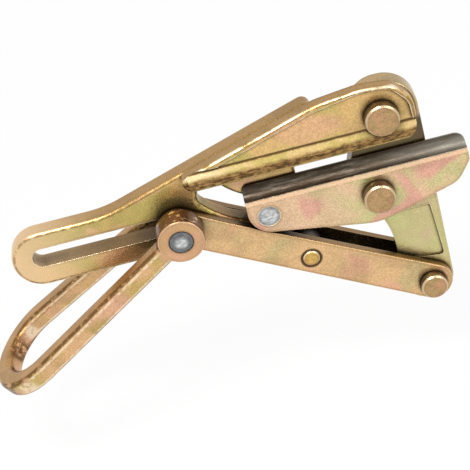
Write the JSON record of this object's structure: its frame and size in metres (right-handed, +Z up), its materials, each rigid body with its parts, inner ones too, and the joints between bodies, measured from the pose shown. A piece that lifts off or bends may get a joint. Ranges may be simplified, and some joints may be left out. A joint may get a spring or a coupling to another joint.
{
  "type": "parallel-jaw cable grip",
  "caption": "Forged parallel-jaw cable grip: pulling the bail swings a lever that lifts the grooved lower jaw and clamps a cable against the fixed upper jaw.",
  "frame": {"origin": "on the centre line of the cable that the jaws hold, straight below the upper pivot pin", "axes": "+X along the cable, away from the pull; +Z up, from the lower jaw to the upper one; -Y is the open side where the cable is laid in"},
  "size_m": [0.2801, 0.0638, 0.1434],
  "materials": {
    "yellow_zinc": "forged steel with yellow zinc plating",
    "bright_zinc": "steel with bright zinc plating",
    "plain_steel": "plain turned steel"
  },
  "bodies": {
    "grip": {"grip_body": "yellow_zinc", "upper_pivot_pin": "yellow_zinc", "upper_pin_washer": "yellow_zinc"},
    "lever": {"swing_lever": "yellow_zinc", "jaw_pivot_pin": "yellow_zinc", "jaw_pin_washer": "yellow_zinc"},
    "jaw": {"lower_jaw": "yellow_zinc", "guide_rivet": "bright_zinc", "guide_bush": "plain_steel", "guide_washer": "bright_zinc"},
    "slider": {"bail_rivet": "bright_zinc", "slot_bush": "plain_steel", "near_eye_washer": "bright_zinc", "far_eye_washer": "bright_zinc"},
    "drawbars": {"near_drawbar": "yellow_zinc", "far_drawbar": "yellow_zinc", "drawbar_pin": "yellow_zinc", "drawbar_pin_sleeve": "plain_steel", "drawbar_pin_washer": "yellow_zinc", "mid_rivet": "yellow_zinc", "mid_spacer": "plain_steel"},
    "bail": {"bail": "yellow_zinc"}
  },
  "joints": [
    {"name": "lever_swing", "type": "hinge", "parent": "grip", "child": "lever", "pos_m": [0, 0.01, 0.023], "axis": [0, 1, 0], "range_deg": [0, 26]},
    {"name": "jaw_level", "type": "hinge", "parent": "lever", "child": "jaw", "pos_m": [-0.00977, 0.01, -0.02297], "axis": [0, 1, 0], "range_deg": [-26, 0]},
    {"name": "rivet_slide", "type": "slide", "parent": "grip", "child": "slider", "axis": [1, 0, 0], "range_m": [-0.0537, 0]},
    {"name": "drawbar_tilt", "type": "hinge", "parent": "slider", "child": "drawbars", "pos_m": [-0.1173, 0.01, -0.0146], "axis": [0, 1, 0], "range_deg": [-2.5, 0]},
    {"name": "bail_swing", "type": "hinge", "parent": "slider", "child": "bail", "pos_m": [-0.1173, 0.01, -0.0146], "axis": [0, 1, 0], "range_deg": [-75, 70]}
  ],
  "couplings": [
    {"joint": "jaw_level", "follows": "lever_swing", "ratio": -1},
    {"joint": "rivet_slide", "follows": "lever_swing", "m_per_rad": -0.11803},
    {"joint": "drawbar_tilt", "follows": "lever_swing", "ratio": -0.09}
  ]
}
